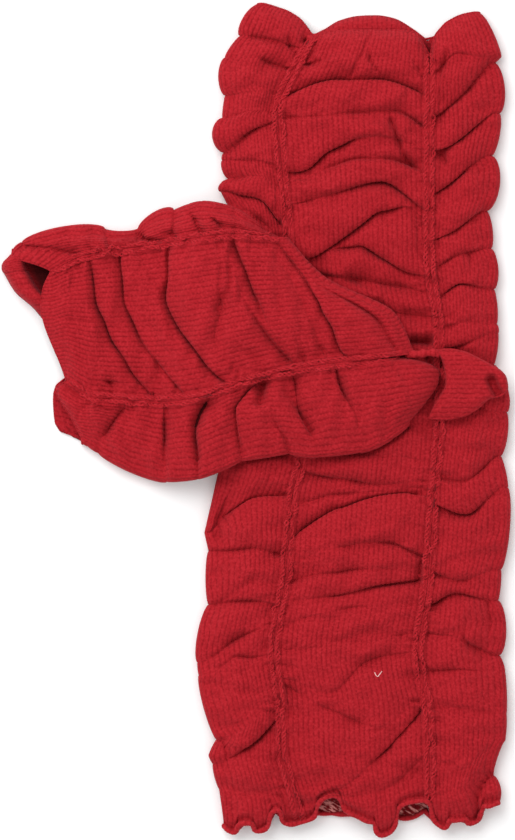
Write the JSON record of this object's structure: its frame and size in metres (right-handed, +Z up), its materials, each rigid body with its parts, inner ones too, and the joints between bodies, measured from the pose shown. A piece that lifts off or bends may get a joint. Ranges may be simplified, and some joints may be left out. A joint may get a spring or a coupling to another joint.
{
  "type": "pair of baby leg warmers",
  "caption": "Pair of gathered rib-knit baby leg warmers laid flat and crossed, with smooth turned cuffs, ruffled sides and a wavy lettuce edge.",
  "frame": {"origin": "middle of the pair's box, on the surface that it lies on", "axes": "+Y along the lower warmer towards its smooth cuff, +X towards its right side, +Z up off the surface"},
  "size_m": [0.1831, 0.2999, 0.0199],
  "materials": {
    "red_rib_knit": "matt fine cotton rib knit"
  },
  "bodies": {
    "root": {"lower_front": "red_rib_knit", "lower_left_side": "red_rib_knit", "lower_right_side": "red_rib_knit", "lower_back": "red_rib_knit", "crossed_front": "red_rib_knit", "crossed_upper_side": "red_rib_knit", "crossed_lower_side": "red_rib_knit", "crossed_back": "red_rib_knit", "crossed_folded_end": "red_rib_knit", "crossed_hem_flap": "red_rib_knit"}
  },
  "joints": []
}
